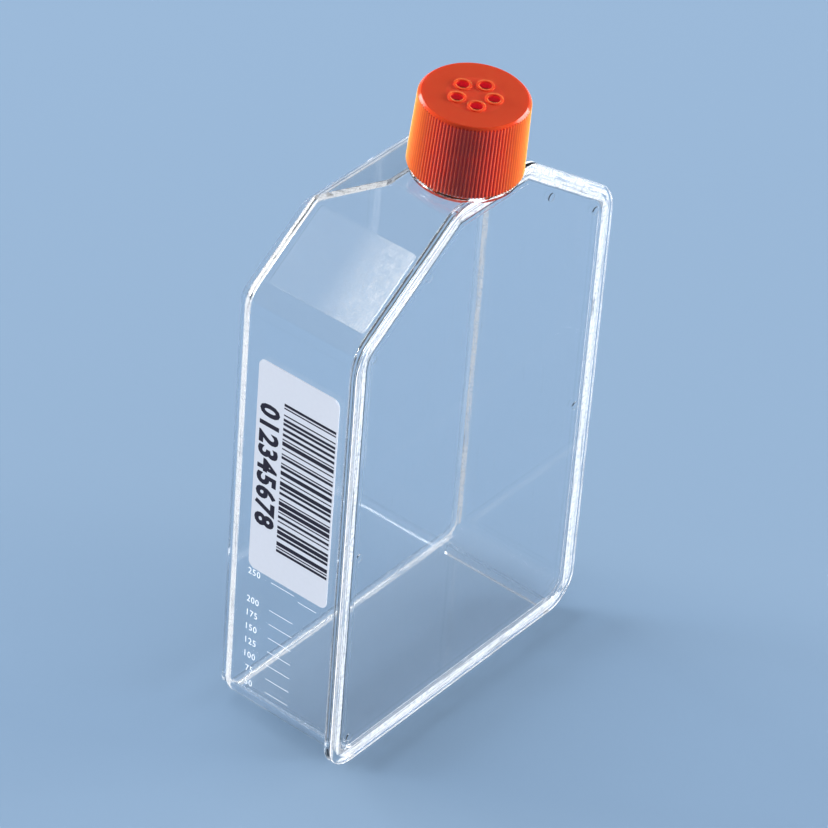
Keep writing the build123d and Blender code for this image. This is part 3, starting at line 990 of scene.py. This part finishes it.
def lettering(name, words, height, squeeze, weight, thickness):
    """Flat text as a thin mesh, its middle at the origin, reading along X with Y up."""
    bpy.ops.object.select_all(action="DESELECT")
    bpy.ops.object.text_add()
    made = bpy.context.object
    made.name = name
    made.data.body = words
    made.data.size = height / HEIGHT_OF_CAPITALS
    made.data.offset = weight
    made.data.extrude = thickness / 2
    made.data.resolution_u = 3
    made.data.space_character = LETTER_SPACING
    bpy.ops.object.convert(target="MESH")
    made = bpy.context.object
    made.data.name = name
    span = [(v.co.x, v.co.y) for v in made.data.vertices]
    left, right = min(x for x, y in span), max(x for x, y in span)
    low, high = min(y for x, y in span), max(y for x, y in span)
    for vertex in made.data.vertices:
        vertex.co.x = (vertex.co.x - (left + right) / 2) * squeeze
        vertex.co.y = (vertex.co.y - (low + high) / 2) * height / (high - low)
    return made


def lay(piece, reading, heads, middle):
    """Turn lettering so that it reads one way with its heads another, and put its middle in place."""
    facing = Vector(reading).cross(Vector(heads))
    piece.matrix_world = Matrix((Vector(reading), Vector(heads), facing)).transposed().to_4x4()
    piece.location = middle
    settle(piece)
    shape(piece)
    shaped()


number = lettering("label_number", "012345678", NUMBER_HEIGHT, 0.80, NUMBER_WEIGHT, FILM)
digits_end = max(v.co.x for v in number.data.vertices)
print("number", round(2000 * digits_end, 1), "mm long")
middle = Vector((label_low.x - FILM / 3, front_y + NUMBER_FROM_FRONT, label_low.z + NUMBER_FROM_FOOT))
lay(number, (0.0, 0.0, -1.0), (0.0, -1.0, 0.0), middle)
finish_piece(number, "flask", print_black)

# %% [markdown]
# The volume scale is moulded into the left wall: a mark and a number for every step, in millilitres,
# counted from the base up, and one more mark nearer the front plate for the highest filling. The mould's
# engraving leaves them a little matt, so they look like thin frost.

# %% Volume scale
def frost(name, most, least, scale, start, end, glow):
    """Thin white frost whose grains let the clear plastic show between them, with a faint painted glow."""
    made, tree, shader, where = new_material(name)
    grains = grain(tree, where, scale, 3.0, 0.75)
    clouds = grain(tree, where, scale / 12, 2.0)
    cover = ramp(tree, sums(tree, "MULTIPLY_ADD", clouds, 0.16, grains), start, end, least, most)
    preset(shader, {
        "Base Color": (0.90, 0.94, 0.98, 1.0), "Roughness": 0.55, "Specular IOR Level": 0.3,
        "Emission Color": EDGE_LIGHT, "Emission Strength": glow,
    })
    tree.links.new(cover, shader.inputs["Alpha"])
    return made, tree, shader, where, cover


# The marks' faint light of their own is a painted glow.
moulded_frost = frost("moulded_frost", 0.95, 0.65, 3000.0, 0.36, 0.7, 0.2)[0]
STEPS = (50, 75, 100, 125, 150, 175, 200, 250)
FIRST_HEIGHT, STEP_RISE, STEP_VOLUME = 14.5 * MM, 5.3 * MM, 25
MARK, MARK_WIDTH, MARK_ROUND = 0.02 * MM, 0.17 * MM, 0.07 * MM
TICK_FROM_FRONT, TICK_LENGTH = 24.0 * MM, 9.0 * MM
MOST_FROM_FRONT, MOST_LENGTH, MOST_HEIGHT = 14.5 * MM, 7.0 * MM, 55.5 * MM
FIGURE_HEIGHT, FIGURE_FROM_FRONT = 2.3 * MM, 35.0 * MM
wall_face = -half_width + RIM_OVERHANG


def step_height(volume):
    """Height of a volume above the base."""
    return FIRST_HEIGHT + (volume - STEPS[0]) / STEP_VOLUME * STEP_RISE


def level_mark(name, from_front, height, length):
    """A short line across the wall at that height."""
    middle = Vector((wall_face - MARK / 2, front_y + from_front, height))
    line = fresh(name, (MARK_WIDTH, length), middle, (0.0, math.radians(90), 0.0))
    shape(line)
    bpy.ops.mesh.bevel(offset=MARK_ROUND, segments=3, affect="VERTICES")
    thicken((-MARK, 0.0, 0.0))
    shaped()
    return line


scale_pieces = []
for volume in STEPS:
    height = step_height(volume)
    figure = lettering("figure_%d" % volume, str(volume), FIGURE_HEIGHT, 0.9, 0.0, MARK)
    middle = Vector((wall_face - MARK, front_y + FIGURE_FROM_FRONT, height))
    lay(figure, (0.0, -1.0, 0.0), (0.0, 0.0, 1.0), middle)
    scale_pieces.append(figure)
    scale_pieces.append(level_mark("tick_%d" % volume, TICK_FROM_FRONT, height, TICK_LENGTH))
scale_pieces.append(level_mark("tick_most", MOST_FROM_FRONT, MOST_HEIGHT, MOST_LENGTH))
finish_piece(joined(scale_pieces, "volume_scale"), "flask", moulded_frost)

# %% [markdown]
# The writing panel on the left shoulder is frosted so that a pencil or pen marks it. Frost scatters light
# back, which refraction alone doesn't show, so a thin veil of white grains with a faint painted glow lies
# just above the panel. It is painted densest along its front edge, a painted highlight where light rakes
# across the frost, and thins out towards the growth wall.

# %% Veil of the frosted panel
PANEL_HEIGHT = 0.25 * MM
PANEL_CORNER = 1.0 * MM
VEIL_GAP, VEIL_THICKNESS = 0.04 * MM, 0.01 * MM
HIGHLIGHT_FULL_BEFORE, HIGHLIGHT_GONE_BEHIND = 5.0 * MM, 26.0 * MM
panel_along = Vector((math.cos(slope), 0.0, math.sin(slope)))
panel_facing = Vector((-math.sin(slope), 0.0, math.cos(slope)))
panel_bend = Vector((-half_width, front_y, SHOULDER_FOOT))
veil_depth = RIM_OVERHANG - PANEL_HEIGHT - VEIL_GAP
middle = panel_bend + panel_along * (PANEL_START + PANEL_LENGTH / 2) - panel_facing * veil_depth
middle.y += PANEL_FRONT + PANEL_WIDTH / 2
veil = fresh("panel_veil", (PANEL_LENGTH, PANEL_WIDTH), middle, (0.0, -slope, 0.0))
shape(veil)
bpy.ops.mesh.bevel(offset=PANEL_CORNER, segments=5, affect="VERTICES")
thicken(panel_facing * VEIL_THICKNESS)
shaped()
frost_with_raking_highlight, tree, shader, where, cover = frost("panel_frost_and_highlight", 0.52, 0.0, 4200.0, 0.42, 0.80, 0.1)
parts = add_node(tree, "ShaderNodeSeparateXYZ")
tree.links.new(where, parts.inputs["Vector"])
# Painted highlight: the veil is densest along the front edge, where light rakes across it.
raking_highlight = ramp(tree, parts.outputs["Y"], front_y + HIGHLIGHT_FULL_BEFORE, front_y + HIGHLIGHT_GONE_BEHIND, 1.0, 0.04)
tree.links.new(sums(tree, "MULTIPLY", cover, raking_highlight), shader.inputs["Alpha"])
finish_piece(veil, "flask", frost_with_raking_highlight)
